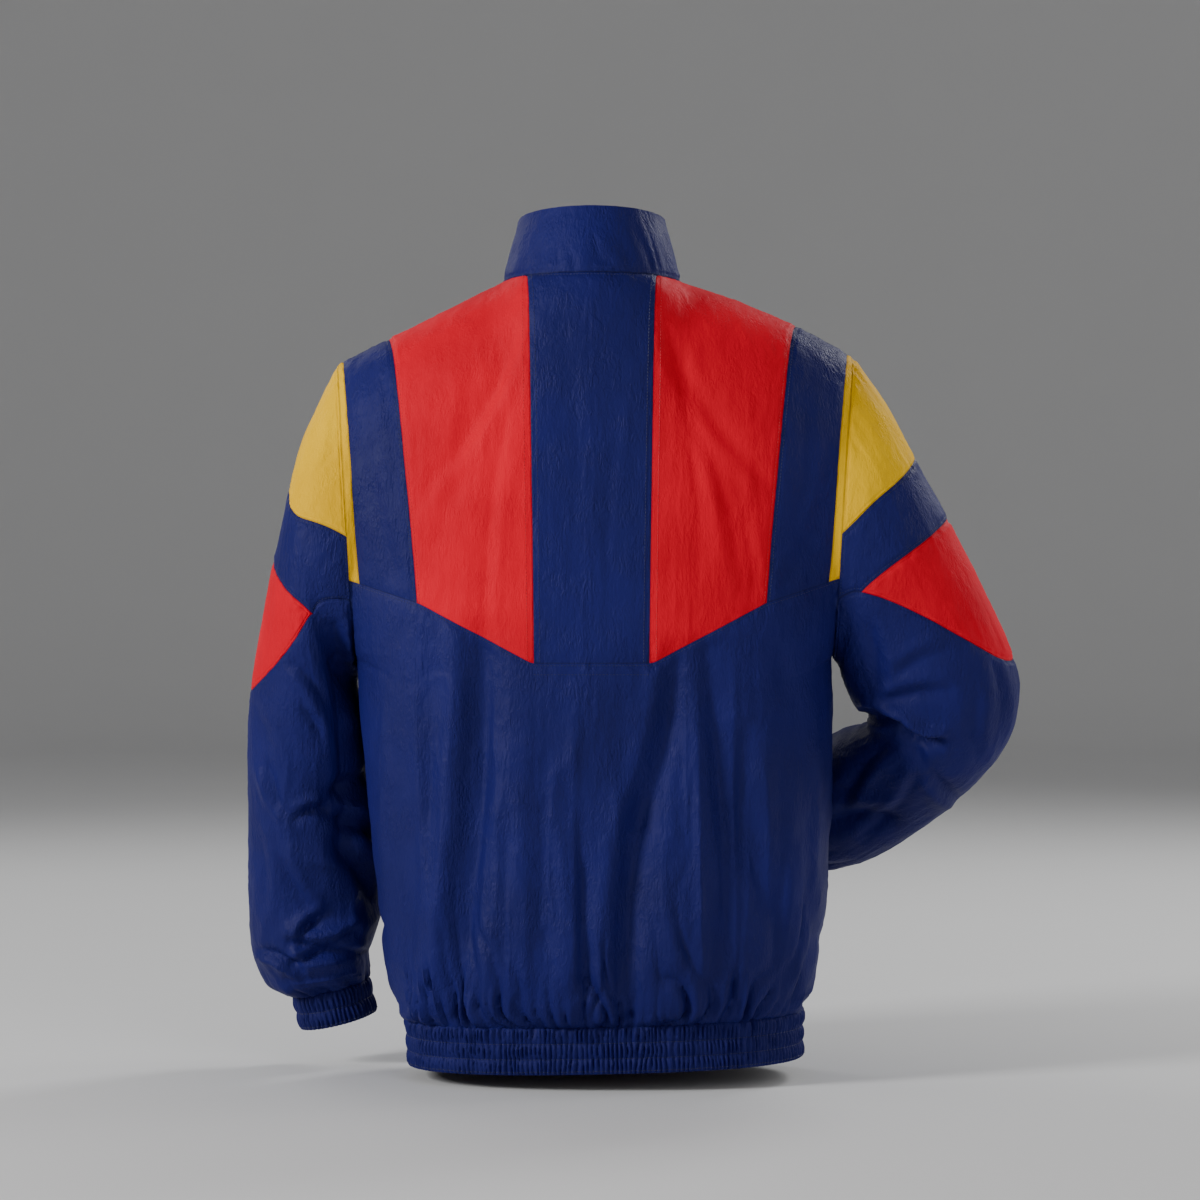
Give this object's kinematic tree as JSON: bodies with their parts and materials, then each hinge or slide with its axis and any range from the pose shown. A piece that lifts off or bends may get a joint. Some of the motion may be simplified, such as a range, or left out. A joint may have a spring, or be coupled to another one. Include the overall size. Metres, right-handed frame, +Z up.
{
  "type": "windbreaker jacket",
  "caption": "Colour-blocked windbreaker jacket with a stand collar, front zip, pointed sleeve blocks and elasticated cuffs and hem, in the hollow form of being worn",
  "frame": {"origin": "middle of the neck base, level with the points where the shoulder seams meet the collar; the wearer's shoulders carry the jacket there", "axes": "+Z up along the wearer, -Y out of the wearer's chest, +X to the wearer's left"},
  "size_m": [0.6982, 0.345, 0.7615],
  "materials": {
    "navy_nylon": "crinkled nylon",
    "red_nylon": "crinkled nylon",
    "yellow_nylon": "crinkled nylon",
    "navy_elastic": "shirred nylon over elastic",
    "zip_tape": "woven tape and moulded teeth",
    "zip_metal": "enamelled"
  },
  "bodies": {
    "garment": {"back_lower": "navy_nylon", "back_centre": "navy_nylon", "collar": "navy_nylon", "hem_band": "navy_elastic", "zip_slider": "zip_metal", "back_red_left": "red_nylon", "back_side_left": "navy_nylon", "back_yellow_left": "yellow_nylon", "front_left": "navy_nylon", "sleeve_yellow_left": "yellow_nylon", "sleeve_band_left": "navy_nylon", "sleeve_red_left": "red_nylon", "sleeve_lower_left": "navy_nylon", "cuff_left": "navy_elastic", "zip_half_left": "zip_tape", "back_red_right": "red_nylon", "back_side_right": "navy_nylon", "back_yellow_right": "yellow_nylon", "front_right": "navy_nylon", "sleeve_yellow_right": "yellow_nylon", "sleeve_band_right": "navy_nylon", "sleeve_red_right": "red_nylon", "sleeve_lower_right": "navy_nylon", "cuff_right": "navy_elastic", "zip_half_right": "zip_tape"},
    "pull_tab": {"zip_pull": "zip_metal"}
  },
  "joints": [
    {"name": "pull_tab_hinge", "type": "hinge", "parent": "garment", "child": "pull_tab", "pos_m": [0, -0.07824, 0.00162], "axis": [-1, 0, 0], "range_deg": [0, 150]}
  ]
}
